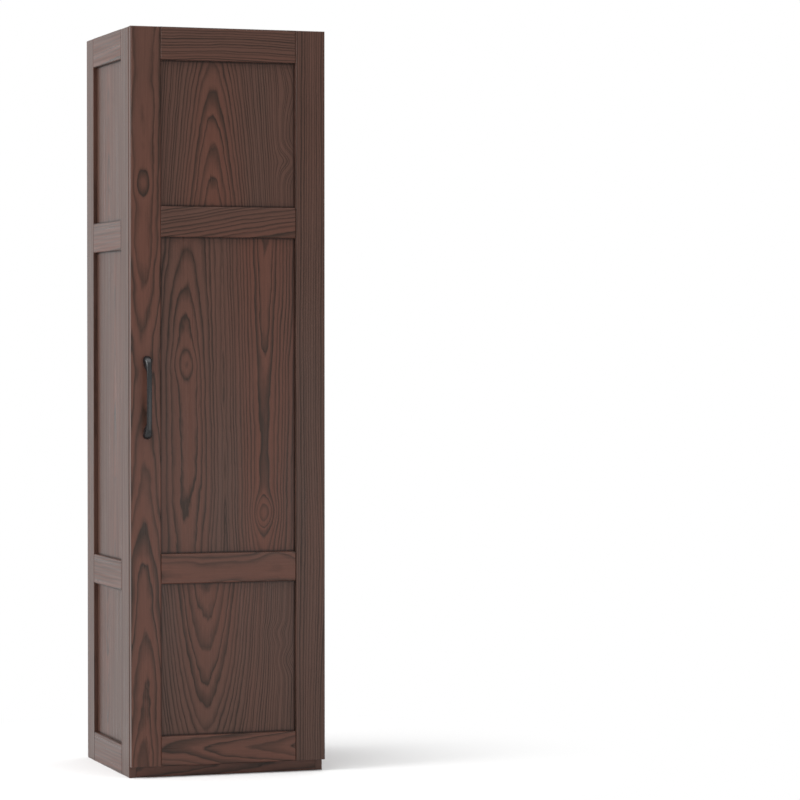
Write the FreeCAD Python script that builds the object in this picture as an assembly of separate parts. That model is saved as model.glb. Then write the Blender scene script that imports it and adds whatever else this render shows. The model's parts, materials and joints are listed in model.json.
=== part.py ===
import FreeCAD, Part
import math
import os
from FreeCAD import Vector

# Tall storage cabinet with one framed door, in millimetres.
# The front faces -Y, +X is to the right and +Z is up.
# The origin is on the floor, below the middle of the whole object.

# Overall sizes
cabinet_height = 1800
cabinet_width = 485
carcass_depth = 422
board_thickness = 18
door_thickness = 18
door_gap = 5
door_floor_gap = 28

# Framed sides: stiles, rails and the heights of the two middle rails
side_front_stile = 74
side_rear_stile = 70
side_rail = 72
side_lower_rail_height = 445
side_upper_rail_drop = 460

# Framed door
door_stile = 74
door_bottom_rail = 72
door_lower_rail = 72
door_upper_rail = 74
door_top_rail = 79.5
door_lower_rail_height = 466
door_upper_rail_drop = 428.5

# Panels in their grooves
panel_thickness = 5
panel_recess = 9
groove_depth = 10
groove_fit = 0.1
panel_end_gap = 1
eased_edge = 0.8

# Boards of the carcass
kick_height = 72
top_rail_height = 89
rear_rail_height = 80
back_thickness = 4
back_inset = 8
back_groove_depth = 6
shelf_setback = 2
lower_shelf_top = 488
upper_shelf_drop = 471
middle_shelf_share = 0.4935

# Small fittings of the carcass
dowel_diameter = 8
dowel_length = 26
dowel_in_side = 10
shelf_pin_diameter = 5
shelf_pin_length = 18
shelf_pin_in_side = 10
pin_fit = 0.02
stiffener_length = 138
stiffener_height = 3
stiffener_depth = 14
bumper_width = 9
bumper_height = 3
bumper_clear = 0.4

# Concealed hinges: places on the door and the two pivot lines.
# "In" is measured inwards from the outer face of the right side,
# "ahead" is measured forwards from the front edge of the carcass.
top_hinge_drop = 161
bottom_hinge_rise = 127
hinge_height_shares = (0.0, 0.3565, 0.6658, 1.0)
arm_pivot_in = 59
cup_pivot_in = 21.4
cup_pivot_off_door = 0.8
pivot_reach = 6.4
pivot_diameter = 3
pivot_fit = 0.04

cup_diameter = 35
cup_centre_in = 22.5
cup_depth = 12
cup_wall = 1.2
cup_floor = 1
cup_fit = 0.05
cup_slot_width = 12.4
cup_lug_thickness = 2.8
cup_lug_radius = 3
flange_thickness = 1.2
flange_rim = 2
flange_height = 74
flange_near_in = 19
flange_far_in = 41
flange_screw_spacing = 60
flange_screw_in = 29.5

plate_height = 56
plate_length = 26
plate_thickness = 2
plate_front_behind = 35
plate_screw_spacing = 40
plate_screw_behind = 42
saddle_height = 8
saddle_width = 10
saddle_length = 34

arm_width = 16
arm_cheek = 2
arm_web = 2
arm_height = 13
arm_lift = 1
arm_end_behind = 73
arm_bend_behind = 33
arm_nose_radius = 4.5
arm_root_half = 6.5
arm_slot_reach = 7
arm_screw_behind = 62

link_width = 11
link_half = 2.2
link_arm_eye = 4
link_cup_eye = 3.6

# Screws of the hinges and of the handle
wood_screw_diameter = 3.5
wood_screw_length = 14
wood_screw_head = 7
wood_screw_head_height = 1.8
arm_screw_diameter = 4
arm_screw_length = 8
handle_screw_diameter = 4
handle_screw_head = 8
handle_screw_head_height = 2.4
handle_screw_in_foot = 10

# Bar handle with flared feet. Its shape changes along its length, so these
# are distances from its end: where the round end is widest, where the front
# reaches the bar, where the foot starts to lift and where the bar begins.
handle_length = 200
handle_hole_spacing = 172
handle_edge_distance = 39
handle_centre_height = 913
handle_projection = 29
handle_bow = 3
handle_bar_width = 12
handle_bar_thickness = 7.4
handle_foot_width = 20.5
handle_round_run = 10
handle_toe_run = 28.5
handle_foot_run = 18
handle_leg_run = 37
handle_tip = 0.4
handle_leg_steps = 10
handle_bar_steps = 5

# One overrun serves every cut
overrun = 5
parallel_share = 0.01

# Places worked out from the sizes
half_width = cabinet_width / 2
inner_half = half_width - board_thickness
total_depth = carcass_depth + door_gap + door_thickness + handle_projection
back_y = total_depth / 2
front_y = back_y - carcass_depth
door_back_y = front_y - door_gap
door_front_y = door_back_y - door_thickness
cup_pivot_ahead = door_gap - cup_pivot_off_door
arm_pivot_behind = pivot_reach - cup_pivot_ahead
bumper_thickness = door_gap - bumper_clear
back_panel_rear_y = back_y - back_inset
back_panel_front_y = back_panel_rear_y - back_thickness
bottom_board_top = kick_height + board_thickness
upper_shelf_top = cabinet_height - upper_shelf_drop
middle_shelf_top = lower_shelf_top + middle_shelf_share * (upper_shelf_top - lower_shelf_top)
panel_in = groove_depth - panel_end_gap
front_stile_y = front_y + side_front_stile / 2
rear_stile_y = back_y - side_rear_stile / 2
hinge_low = door_floor_gap + bottom_hinge_rise
hinge_high = cabinet_height - top_hinge_drop
hinge_heights = [hinge_low + share * (hinge_high - hinge_low) for share in hinge_height_shares]
handle_x = -half_width + handle_edge_distance
handle_holes = [handle_centre_height + side * handle_hole_spacing / 2 for side in (-1, 1)]

X = Vector(1, 0, 0)
Y = Vector(0, 1, 0)
Z = Vector(0, 0, 1)
nodes = {}


def box(x, y, z):
    """A box from its two limits along each axis, in either order."""
    low = Vector(min(x), min(y), min(z))
    high = Vector(max(x), max(y), max(z))
    size = high - low
    return Part.makeBox(size.x, size.y, size.z, low)


def rod(diameter, length, start, axis):
    return Part.makeCylinder(diameter / 2, length, start, axis)


def eased(solid, axis):
    """Take off the sharp edges that run along an axis."""
    edges = [e for e in solid.Edges if e.Curve.Direction.cross(axis).Length < parallel_share]
    return solid.makeChamfer(eased_edge, edges)


def around(middle, size):
    return middle - size / 2, middle + size / 2


def drill(name, holes):
    nodes[name] = nodes[name].cut(holes)


# Frame and panel work, in a frame's own directions: "run" goes across the
# frame, "into" goes from its outer face to its inner face.

def side_place(sign):
    """Run goes from the front edge to the back, into goes inwards."""
    def place(run, into, z):
        x = [sign * (half_width - depth) for depth in into]
        return box(x, [front_y + r for r in run], z)
    return place


def door_place(run, into, z):
    """Run goes from the handle edge to the hinge edge."""
    return box([r - half_width for r in run], [door_front_y + depth for depth in into], z)


def stile(place, run, z, thickness, groove_at):
    solid = eased(place(run, (0, thickness), z), Z)
    inner, outer = groove_at
    groove_z = (z[0] - overrun, z[1] + overrun)
    return solid.cut(place((inner, outer), groove_limits(), groove_z))


def groove_limits():
    return panel_recess - groove_fit, panel_recess + panel_thickness + groove_fit


def rail(place, run, z, thickness, run_axis, panel_below, panel_above):
    solid = eased(place(run, (0, thickness), z), run_axis)
    groove_run = (run[0] - overrun, run[1] + overrun)
    low, high = z
    if panel_below:
        solid = solid.cut(place(groove_run, groove_limits(), (z[0] - overrun, z[0] + groove_depth)))
        low = z[0] + groove_depth
    if panel_above:
        solid = solid.cut(place(groove_run, groove_limits(), (z[1] - groove_depth, z[1] + overrun)))
        high = z[1] - groove_depth
    tenon = (panel_recess, panel_recess + panel_thickness)
    for end in ((run[0] - panel_in, run[0]), (run[1], run[1] + panel_in)):
        solid = solid.fuse(place(end, tenon, (low, high)))
    return solid.removeSplitter()


def panel(place, run, z_low, z_high):
    across = (run[0] - panel_in, run[1] + panel_in)
    tongue = (panel_recess, panel_recess + panel_thickness)
    return place(across, tongue, (z_low - panel_in, z_high + panel_in))


def make_frame(prefix, place, run_axis, width, z, thickness, stiles, rails):
    """Two stiles, four rails and the three panels between them."""
    (first_name, first_width), (last_name, last_width) = stiles
    run = (first_width, width - last_width)
    first_groove = (run[0] - groove_depth, run[0] + overrun)
    last_groove = (run[1] - overrun, run[1] + groove_depth)
    nodes[prefix + first_name] = stile(place, (0, run[0]), z, thickness, first_groove)
    nodes[prefix + last_name] = stile(place, (run[1], width), z, thickness, last_groove)
    last = len(rails) - 1
    for i, (name, limits) in enumerate(rails):
        nodes[prefix + name] = rail(place, run, limits, thickness, run_axis, i > 0, i < last)
    panels = ("lower_panel", "middle_panel", "upper_panel")
    for name, below, above in zip(panels, rails, rails[1:]):
        nodes[prefix + name] = panel(place, run, below[1][1], above[1][0])


def make_sides():
    upper_top = cabinet_height - side_upper_rail_drop
    rails = [
        ("bottom_rail", (0, side_rail)),
        ("lower_rail", (side_lower_rail_height, side_lower_rail_height + side_rail)),
        ("upper_rail", (upper_top - side_rail, upper_top)),
        ("top_rail", (cabinet_height - side_rail, cabinet_height)),
    ]
    stiles = (("front_stile", side_front_stile), ("rear_stile", side_rear_stile))
    for prefix, sign in (("left_", -1), ("right_", 1)):
        place = side_place(sign)
        height = (0, cabinet_height)
        make_frame(prefix, place, Y, carcass_depth, height, board_thickness, stiles, rails)
        groove_x = [sign * inner_half - sign * overrun, sign * (inner_half + back_groove_depth)]
        groove_y = (back_panel_front_y - groove_fit, back_panel_rear_y + groove_fit)
        drill(prefix + "rear_stile", box(groove_x, groove_y, (-overrun, cabinet_height + overrun)))


def make_door():
    upper_top = cabinet_height - door_upper_rail_drop
    rails = [
        ("bottom_rail", (door_floor_gap, door_floor_gap + door_bottom_rail)),
        ("lower_rail", (door_lower_rail_height, door_lower_rail_height + door_lower_rail)),
        ("upper_rail", (upper_top - door_upper_rail, upper_top)),
        ("top_rail", (cabinet_height - door_top_rail, cabinet_height)),
    ]
    stiles = (("handle_stile", door_stile), ("hinge_stile", door_stile))
    height = (door_floor_gap, cabinet_height)
    make_frame("door_", door_place, X, cabinet_width, height, door_thickness, stiles, rails)


# Boards between the two sides

def board(y, z):
    return eased(box((-inner_half, inner_half), y, z), X)


def make_boards():
    to_back = (front_y, back_panel_front_y)
    shelf_y = (front_y + shelf_setback, back_panel_front_y)
    nodes["bottom_board"] = board(to_back, (kick_height, bottom_board_top))
    nodes["kick_board"] = board((front_y, front_y + board_thickness), (0, kick_height))
    rear_kick_y = (back_panel_rear_y - board_thickness, back_panel_rear_y)
    nodes["rear_kick_board"] = board(rear_kick_y, (0, kick_height))
    rail_z = (cabinet_height - top_rail_height, cabinet_height)
    nodes["front_top_rail"] = board((front_y, front_y + board_thickness), rail_z)
    top_z = (cabinet_height - board_thickness, cabinet_height)
    nodes["top_board"] = board((front_y + board_thickness, back_panel_front_y), top_z)
    rear_rail_y = (back_panel_front_y - board_thickness, back_panel_front_y)
    nodes["rear_top_rail"] = board(rear_rail_y, (top_z[0] - rear_rail_height, top_z[0]))
    shelves = (("lower", lower_shelf_top), ("middle", middle_shelf_top), ("upper", upper_shelf_top))
    for name, top in shelves:
        nodes[name + "_shelf"] = board(shelf_y, (top - board_thickness, top))
    reach = inner_half + back_groove_depth - groove_fit
    back_y_limits = (back_panel_front_y, back_panel_rear_y)
    nodes["back_panel"] = box((-reach, reach), back_y_limits, (kick_height, cabinet_height))


def make_dowels():
    """Dowels hold each fixed board to both sides."""
    half_board = board_thickness / 2
    edge_y = front_y + half_board
    rear_rail_z = cabinet_height - board_thickness - rear_rail_height / 2
    places = [
        ("kick_board", edge_y, kick_height / 2, "front_stile"),
        ("rear_kick_board", back_panel_rear_y - half_board, kick_height / 2, "rear_stile"),
        ("front_top_rail", edge_y, cabinet_height - top_rail_height / 2, "front_stile"),
        ("rear_top_rail", back_panel_front_y - half_board, rear_rail_z, "rear_stile"),
    ]
    fixed = {
        "bottom_board": bottom_board_top,
        "lower_shelf": lower_shelf_top,
        "upper_shelf": upper_shelf_top,
        "top_board": cabinet_height,
    }
    for name, top in fixed.items():
        places.append((name, front_stile_y, top - half_board, "front_stile"))
        places.append((name, rear_stile_y, top - half_board, "rear_stile"))
    dowels = []
    for prefix, sign in (("left_", -1), ("right_", 1)):
        for name, y, z, stile_name in places:
            start = Vector(sign * (inner_half + dowel_in_side), y, z)
            dowels.append(rod(dowel_diameter, dowel_length, start, X * -sign))
            hole = rod(dowel_diameter + 2 * pin_fit, dowel_length, start, X * -sign)
            drill(prefix + stile_name, hole)
            drill(name, hole)
    nodes["carcass_dowels"] = Part.makeCompound(dowels)


def make_shelf_fittings():
    """Four pins carry the middle shelf, and a strip stiffens its front."""
    underside = middle_shelf_top - board_thickness
    pins = []
    for prefix, sign in (("left_", -1), ("right_", 1)):
        for y, stile_name in ((front_stile_y, "front_stile"), (rear_stile_y, "rear_stile")):
            pin_z = underside - shelf_pin_diameter / 2
            start = Vector(sign * (inner_half + shelf_pin_in_side), y, pin_z)
            pins.append(rod(shelf_pin_diameter, shelf_pin_length, start, X * -sign))
            hole = rod(shelf_pin_diameter + 2 * pin_fit, shelf_pin_length, start, X * -sign)
            drill(prefix + stile_name, hole)
    nodes["shelf_pins"] = Part.makeCompound(pins)
    strip_y = front_y + shelf_setback + eased_edge
    strip = box(around(0, stiffener_length), (strip_y, strip_y + stiffener_depth),
                (underside - stiffener_height, underside))
    nodes["shelf_stiffener"] = strip
    bumper_z = around(kick_height + eased_edge + bumper_height, bumper_height)
    bumper_y = (front_y - bumper_thickness, front_y)
    nodes["door_bumper"] = eased(box(around(0, bumper_width), bumper_y, bumper_z), Y)


# Hinge pieces, drawn in plan and given their height

def at(inwards, ahead, z):
    return Vector(half_width - inwards, front_y - ahead, z)


def slab(points, z, height):
    """An upright slab over an outline of (in, ahead) points, centred on z."""
    low = z - height / 2
    corners = [at(p, q, low) for p, q in points]
    return Part.Face(Part.makePolygon(corners + corners[:1])).extrude(Z * height)


def post(inwards, ahead, diameter, z, height):
    return rod(diameter, height, at(inwards, ahead, z - height / 2), Z)


def strap(start, start_half, end, end_half):
    """Outline of a tapered strap between two (in, ahead) points."""
    along = Vector(end[0] - start[0], end[1] - start[1], 0).normalize()
    side = Vector(-along.y, along.x, 0)
    return [
        (start[0] + side.x * start_half, start[1] + side.y * start_half),
        (end[0] + side.x * end_half, end[1] + side.y * end_half),
        (end[0] - side.x * end_half, end[1] - side.y * end_half),
        (start[0] - side.x * start_half, start[1] - side.y * start_half),
    ]


arm_pivot = (arm_pivot_in, -arm_pivot_behind)
cup_pivot = (cup_pivot_in, cup_pivot_ahead)
arm_low = board_thickness + plate_thickness + arm_lift
arm_high = arm_low + arm_height
arm_root = ((arm_low + arm_high) / 2, -arm_bend_behind)


def outline(p, q):
    return [(p[0], q[0]), (p[1], q[0]), (p[1], q[1]), (p[0], q[1])]


def hinge_plate(z):
    """A winged plate on the side wall with a raised saddle for the arm."""
    plate_q = (-plate_front_behind - plate_length, -plate_front_behind)
    wing = slab(outline((board_thickness, board_thickness + plate_thickness), plate_q), z, plate_height)
    wing = eased(wing, X)
    saddle_p = (board_thickness, board_thickness + plate_thickness + saddle_height)
    saddle_q = (-plate_front_behind - saddle_length, -plate_front_behind)
    return wing.fuse(slab(outline(saddle_p, saddle_q), z, saddle_width)).removeSplitter()


def hinge_arm(z):
    """A folded channel over the saddle, with two cheeks at its nose."""
    rear_q = (-arm_end_behind, -arm_bend_behind)
    neck = strap(arm_root, arm_root_half, arm_pivot, arm_nose_radius)
    arm = slab(outline((arm_low, arm_high), rear_q), z, arm_width)
    arm = arm.fuse([slab(neck, z, arm_width), post(*arm_pivot, 2 * arm_nose_radius, z, arm_width)])
    inside = arm_width - 2 * arm_cheek
    channel_p = (arm_low - overrun, arm_high - arm_web)
    channel_q = (-arm_end_behind + arm_web, -arm_bend_behind)
    arm = arm.cut(slab(outline(channel_p, channel_q), z, inside))
    nose_reach = arm_nose_radius + arm_slot_reach
    nose = strap(arm_root, arm_root_half + overrun, arm_pivot, arm_nose_radius + overrun)
    web_back = strap(arm_root, arm_root_half, arm_pivot, arm_nose_radius)[2:]
    keep = strap(web_back[1], arm_web, web_back[0], arm_web)
    hollow = slab(nose, z, inside).fuse(post(*arm_pivot, 2 * nose_reach, z, inside))
    web = slab(keep, z, inside).cut(post(*arm_pivot, 2 * nose_reach, z, inside))
    arm = arm.cut(hollow.cut(web))
    return arm.cut(post(*arm_pivot, pivot_diameter + 2 * pin_fit, z, arm_width + overrun)).removeSplitter()


def hinge_link(z):
    bar = slab(strap(arm_pivot, link_half, cup_pivot, link_half), z, link_width)
    arm_eye = post(*arm_pivot, 2 * link_arm_eye, z, link_width)
    cup_eye = post(*cup_pivot, 2 * link_cup_eye, z, link_width)
    link = bar.fuse([arm_eye, cup_eye]).removeSplitter()
    for pivot in (arm_pivot, cup_pivot):
        link = link.cut(post(*pivot, pivot_diameter + 2 * pivot_fit, z, link_width + overrun))
    return link


def cup_bore(diameter, start_ahead, depth, z):
    return rod(diameter, depth, at(cup_centre_in, start_ahead, z), Y * -1)


def hinge_cup(z):
    """A cup let into the door, with its flange and two lugs for the pin."""
    cup = cup_bore(cup_diameter, door_gap, cup_depth, z)
    flange_q = (door_gap - flange_thickness, door_gap)
    rim = cup_bore(cup_diameter + 2 * flange_rim, flange_q[0], flange_thickness, z)
    wing = eased(slab(outline((flange_near_in, flange_far_in), flange_q), z, flange_height), Y)
    cup = cup.fuse([rim, wing])
    slot_depth = cup_depth - cup_floor + flange_thickness
    slot = cup_bore(cup_diameter - 2 * cup_wall, flange_q[0], slot_depth, z)
    slot_q = (flange_q[0] - overrun, door_gap + cup_depth)
    slot_p = (0, cup_diameter + cup_centre_in)
    cup = cup.cut(slot.common(slab(outline(slot_p, slot_q), z, cup_slot_width)))
    cup = cup.cut(slab(outline(slot_p, (slot_q[0], door_gap)), z, cup_slot_width))
    lug_p = around(cup_pivot_in, 2 * cup_lug_radius)
    lugs = []
    for side in (-1, 1):
        lug_z = z + side * (cup_slot_width + cup_lug_thickness) / 2
        lug_foot = outline(lug_p, (cup_pivot_ahead, door_gap + cup_lug_radius))
        lugs.append(slab(lug_foot, lug_z, cup_lug_thickness))
        lugs.append(post(*cup_pivot, 2 * cup_lug_radius, lug_z, cup_lug_thickness))
    cup = cup.fuse(lugs).removeSplitter()
    pin_height = cup_slot_width + 2 * cup_lug_thickness
    return cup.cut(post(*cup_pivot, pivot_diameter + 2 * pin_fit, z, pin_height))


def screw(head_at, axis, head, head_height, diameter, length):
    """A round-headed screw: the axis points from the head to the tip."""
    top = Part.makeCone(head / 2 - eased_edge, head / 2, head_height, head_at - axis * head_height, axis)
    return top.fuse(rod(diameter, length, head_at, axis)).removeSplitter()


def screw_hole(head_at, axis, diameter, length):
    return rod(diameter + 2 * pin_fit, length + overrun, head_at - axis * overrun, axis)


def make_hinges():
    arm_pins = []
    cup_pins = []
    links = []
    plate_screws = []
    cup_screws = []
    for number, z in enumerate(hinge_heights, start=1):
        name = "hinge_%d_" % number
        nodes[name + "plate"] = hinge_plate(z)
        nodes[name + "arm"] = hinge_arm(z)
        nodes[name + "cup"] = hinge_cup(z)
        links.append(hinge_link(z))
        arm_pins.append(post(*arm_pivot, pivot_diameter, z, arm_width))
        cup_pins.append(post(*cup_pivot, pivot_diameter, z, cup_slot_width + 2 * cup_lug_thickness))
        drill("door_hinge_stile", cup_bore(cup_diameter + 2 * cup_fit, door_gap, cup_depth + cup_fit, z))
        wood = (wood_screw_diameter, wood_screw_length)
        heads = (wood_screw_head, wood_screw_head_height)
        for side in (-1, 1):
            screw_z = z + side * plate_screw_spacing / 2
            seat = at(board_thickness + plate_thickness, -plate_screw_behind, screw_z)
            plate_screws.append(screw(seat, X, *heads, *wood))
            drill(name + "plate", screw_hole(seat, X, *wood))
            drill("right_front_stile", screw_hole(seat, X, *wood))
            screw_z = z + side * flange_screw_spacing / 2
            seat = at(flange_screw_in, door_gap - flange_thickness, screw_z)
            cup_screws.append(screw(seat, -Y, *heads, *wood))
            drill(name + "cup", screw_hole(seat, -Y, *wood))
            drill("door_hinge_stile", screw_hole(seat, -Y, *wood))
        seat = at(arm_high, -arm_screw_behind, z)
        fixing = (arm_screw_diameter, arm_screw_length)
        plate_screws.append(screw(seat, X, *heads, *fixing))
        drill(name + "arm", screw_hole(seat, X, *fixing))
        drill(name + "plate", screw_hole(seat, X, *fixing))
    nodes["hinge_links"] = Part.makeCompound(links)
    nodes["hinge_arm_pins"] = Part.makeCompound(arm_pins)
    nodes["hinge_cup_pins"] = Part.makeCompound(cup_pins)
    nodes["hinge_plate_screws"] = Part.makeCompound(plate_screws)
    nodes["hinge_cup_screws"] = Part.makeCompound(cup_screws)


# Handle: one bar drawn through oval sections from foot to foot

def oval(centre, half_width, half_depth):
    """An oval across the handle, drawn as four quarters inside its own box."""
    corner_weight = math.sqrt(0.5)
    poles = []
    weights = []
    for right, ahead in ((1, 0), (1, 1), (0, 1), (-1, 1), (-1, 0), (-1, -1), (0, -1), (1, -1), (1, 0)):
        poles.append(centre + X * right * half_width + Y * ahead * half_depth)
        weights.append(corner_weight if right and ahead else 1)
    curve = Part.BSplineCurve()
    curve.buildFromPolesMultsKnots(poles, (3, 2, 2, 2, 3), (0, 1, 2, 3, 4), False, 2, weights)
    return Part.Wire(curve.toShape())


def share(value, start, end):
    return min(max((value - start) / (end - start), 0), 1)


def handle_section(from_end):
    """Half width, half depth and the height of the middle above the door."""
    toe = 1 - share(from_end, 0, handle_toe_run)
    bow = 1 - share(from_end, handle_toe_run, handle_length / 2)
    rise = (handle_projection - handle_bow) * math.sqrt(1 - toe ** 2)
    front = rise + handle_bow * (1 - bow ** 2)
    slim = share(from_end, handle_round_run, handle_leg_run)
    width = handle_foot_width + slim * (handle_bar_width - handle_foot_width)
    end_round = 1 - share(from_end, 0, handle_round_run)
    half_width = width / 2 * math.sqrt(1 - end_round ** 2)
    lift = share(from_end, handle_foot_run, handle_leg_run)
    half_depth = front + lift * (handle_bar_thickness / 2 - front)
    return half_width, half_depth, front - half_depth


def handle_places():
    """Distances from the end: close together in the leg, wider along the bar."""
    turns = [step / handle_leg_steps * math.pi / 2 for step in range(handle_leg_steps + 1)]
    places = [handle_leg_run * (1 - math.cos(turn)) for turn in turns]
    bar_step = (handle_length / 2 - handle_leg_run) / handle_bar_steps
    return places + [handle_leg_run + bar_step * step for step in range(1, handle_bar_steps)]


def make_handle():
    lower = handle_places()
    heights = lower + [handle_length / 2] + [handle_length - place for place in reversed(lower)]
    wires = []
    for height in heights:
        from_end = max(min(height, handle_length - height), handle_tip)
        half_width, half_depth, middle = handle_section(from_end)
        z = handle_centre_height - handle_length / 2 + height
        wires.append(oval(Vector(handle_x, door_front_y - middle, z), half_width, half_depth))
    handle = Part.makeLoft(wires, True, True)
    behind_y = (door_front_y, door_front_y + handle_projection + overrun)
    behind_x = around(handle_x, handle_foot_width + 2 * overrun)
    behind_z = around(handle_centre_height, handle_length + 2 * overrun)
    handle = handle.cut(box(behind_x, behind_y, behind_z))
    screws = []
    reach = door_thickness + handle_screw_in_foot
    for z in handle_holes:
        seat = Vector(handle_x, door_back_y, z)
        sizes = (handle_screw_diameter, reach)
        screws.append(screw(seat, -Y, handle_screw_head, handle_screw_head_height, *sizes))
        handle = handle.cut(screw_hole(seat, -Y, *sizes))
        drill("door_handle_stile", screw_hole(seat, -Y, *sizes))
    nodes["handle"] = handle
    nodes["handle_screws"] = Part.makeCompound(screws)


def export_nodes():
    os.makedirs("parts", exist_ok=True)
    for name, shape in nodes.items():
        shape.exportStep("parts/" + name + ".step")
        print(name, len(shape.Solids), round(shape.Volume), shape.isValid())
    whole = Part.makeCompound(list(nodes.values())).BoundBox
    print("box", whole)
    print("nodes", len(nodes))


make_sides()
make_door()
make_boards()
make_dowels()
make_shelf_fittings()
make_hinges()
make_handle()
export_nodes()
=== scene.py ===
import json
import math
from collections import namedtuple

import bpy
from bpy.props import FloatProperty, FloatVectorProperty, PointerProperty
from mathutils import Euler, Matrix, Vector

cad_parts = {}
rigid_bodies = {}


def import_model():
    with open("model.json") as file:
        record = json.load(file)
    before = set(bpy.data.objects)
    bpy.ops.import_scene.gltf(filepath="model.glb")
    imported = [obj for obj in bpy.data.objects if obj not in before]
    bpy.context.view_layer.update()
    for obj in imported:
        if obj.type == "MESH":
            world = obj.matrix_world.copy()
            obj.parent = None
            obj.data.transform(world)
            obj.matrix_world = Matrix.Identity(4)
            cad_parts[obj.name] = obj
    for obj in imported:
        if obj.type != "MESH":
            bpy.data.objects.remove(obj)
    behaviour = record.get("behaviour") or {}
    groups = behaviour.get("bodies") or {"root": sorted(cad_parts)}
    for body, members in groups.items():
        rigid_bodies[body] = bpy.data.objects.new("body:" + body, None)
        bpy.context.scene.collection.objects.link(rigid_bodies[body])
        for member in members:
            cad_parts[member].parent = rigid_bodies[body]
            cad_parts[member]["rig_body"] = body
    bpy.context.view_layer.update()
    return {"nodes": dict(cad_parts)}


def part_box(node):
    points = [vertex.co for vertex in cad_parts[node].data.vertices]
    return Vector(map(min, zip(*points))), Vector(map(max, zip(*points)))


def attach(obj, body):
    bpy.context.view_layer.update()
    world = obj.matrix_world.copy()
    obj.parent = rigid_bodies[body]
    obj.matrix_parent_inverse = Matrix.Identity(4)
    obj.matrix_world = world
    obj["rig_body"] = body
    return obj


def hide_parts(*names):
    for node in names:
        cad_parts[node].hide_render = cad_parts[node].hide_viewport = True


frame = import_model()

bl_info = {
    "name": "Tall Storage Cabinet",
    "version": (1, 0, 0),
    "blender": (4, 5, 0),
    "location": "View3D > Sidebar > Cabinet",
    "description": "Finishes a framed storage cabinet: stained wood, metal fittings and stage",
    "category": "Object",
}

# Grain of the boards
#
# A board is cut from a log. "along" is the way the log lies, and "heart" is a
# point on its middle line, in metres in the cabinet's frame. "turn" tilts the
# log within the board's face, in degrees.
# "ring" is the width of a year's ring, and "crowd" is how fast the rings get
# narrower away from the heart. "lean" is how fast the log slims, which draws
# the arches on a face. "drift" is how far the lines bend, and "wave" is how
# often they do so along the board. "twin" is a second heart beside the first
# one, with its own lean.
# "dull" is how much of its red the stain loses away from the heart. "shade" is
# 1 for the usual stain and less for painted shade, darkening a board that lies deep in shadow.
# A knot is its place on the board, its half width across and along the grain,
# and how far it pushes the rings aside.

Grain = namedtuple(
    "Grain", "along heart ring lean drift wave dull turn knots twin twin_lean shade crowd")
Knot = namedtuple("Knot", "place across along push")

LOG_TURN = {
    "X": (0, math.radians(90), 0),
    "Y": (math.radians(-90), 0, 0),
    "Z": (0, 0, 0),
}
NO_TWIN = (9.0, 9.0, 0.0)


def grain(along, heart, ring=0.008, lean=0.0, drift=0.006, wave=2.5, dull=0.5, turn=0.0, knots=(),
          twin=NO_TWIN, twin_lean=0.0, shade=1.0, crowd=0.0):
    """One board's grain, with the usual values filled in."""
    return Grain(along, heart, ring, lean, drift, wave, dull, turn, tuple(knots),
                 twin, twin_lean, shade, crowd)


# In the door's table the second number of a place counts from the door's front face.
DOOR_GRAIN = {
    "door_handle_stile": grain(
        "Z", (-0.211, 0.035, 1.0), ring=0.0105, drift=0.022, wave=5.0,
        knots=[Knot((-0.211, 0, 0.94), 0.20, 0.33, 0.022),
               Knot((-0.211, 0, 0.0), 0.20, 0.50, -0.040),
               Knot((-0.2144, 0, 1.425), 0.020, 0.034, -0.0145)]),
    "door_hinge_stile": grain(
        "Z", (0.40, 0.0465, 1.0), ring=0.0060, lean=0.01, drift=0.010, dull=0.6,
        knots=[Knot((0.26, 0, 0.50), 0.05, 0.22, 0.014)]),
    "door_top_rail": grain("X", (0.02, 0.0165, 1.66), ring=0.0066, lean=0.02, drift=0.020, wave=4.0),
    "door_upper_rail": grain(
        "X", (-0.05, 0.0165, 1.26), ring=0.0092, lean=0.02, drift=0.020, wave=4.0, turn=-10),
    "door_lower_rail": grain(
        "X", (0.0, 0.037, 0.490), ring=0.0110, lean=0.03, drift=0.030, wave=6.0,
        knots=[Knot((0.125, 0, 0.530), 0.035, 0.045, -0.008)]),
    "door_bottom_rail": grain(
        "X", (0.02, 0.0165, 0.066), ring=0.012, lean=-0.12, drift=0.030, wave=5.0),
    "door_upper_panel": grain(
        "Z", (-0.038, 0.029, 1.55), ring=0.017, crowd=8, lean=0.185, drift=0.008, wave=4.0,
        knots=[Knot((0.165, 0.009, 1.485), 0.036, 0.035, -0.030),
               Knot((0.175, 0.009, 1.66), 0.040, 0.07, -0.022)]),
    "door_middle_panel": grain(
        "Z", (-0.1045, 0.058, 0.99), ring=0.0085, lean=0.015, drift=0.018, wave=3.6,
        knots=[Knot((-0.1045, 0.009, 1.35), 0.08, 0.20, 0.020),
               Knot((-0.1035, 0.009, 0.993), 0.022, 0.038, -0.012),
               Knot((-0.105, 0.009, 0.45), 0.080, 0.22, 0.012),
               Knot((0.092, 0.009, 0.62), 0.050, 0.110, -0.010),
               Knot((0.092, 0.009, 0.631), 0.030, 0.036, -0.020)],
        twin=(0.198, -0.029, 0.0), twin_lean=-0.042),
    "door_lower_panel": grain(
        "Z", (-0.054, 0.036, 0.27), ring=0.024, crowd=10, lean=-0.25, drift=0.008, wave=4.0,
        knots=[Knot((0.122, 0.009, 0.340), 0.030, 0.022, 0.012),
               Knot((0.150, 0.009, 0.275), 0.034, 0.028, 0.016)]),
}

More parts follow.
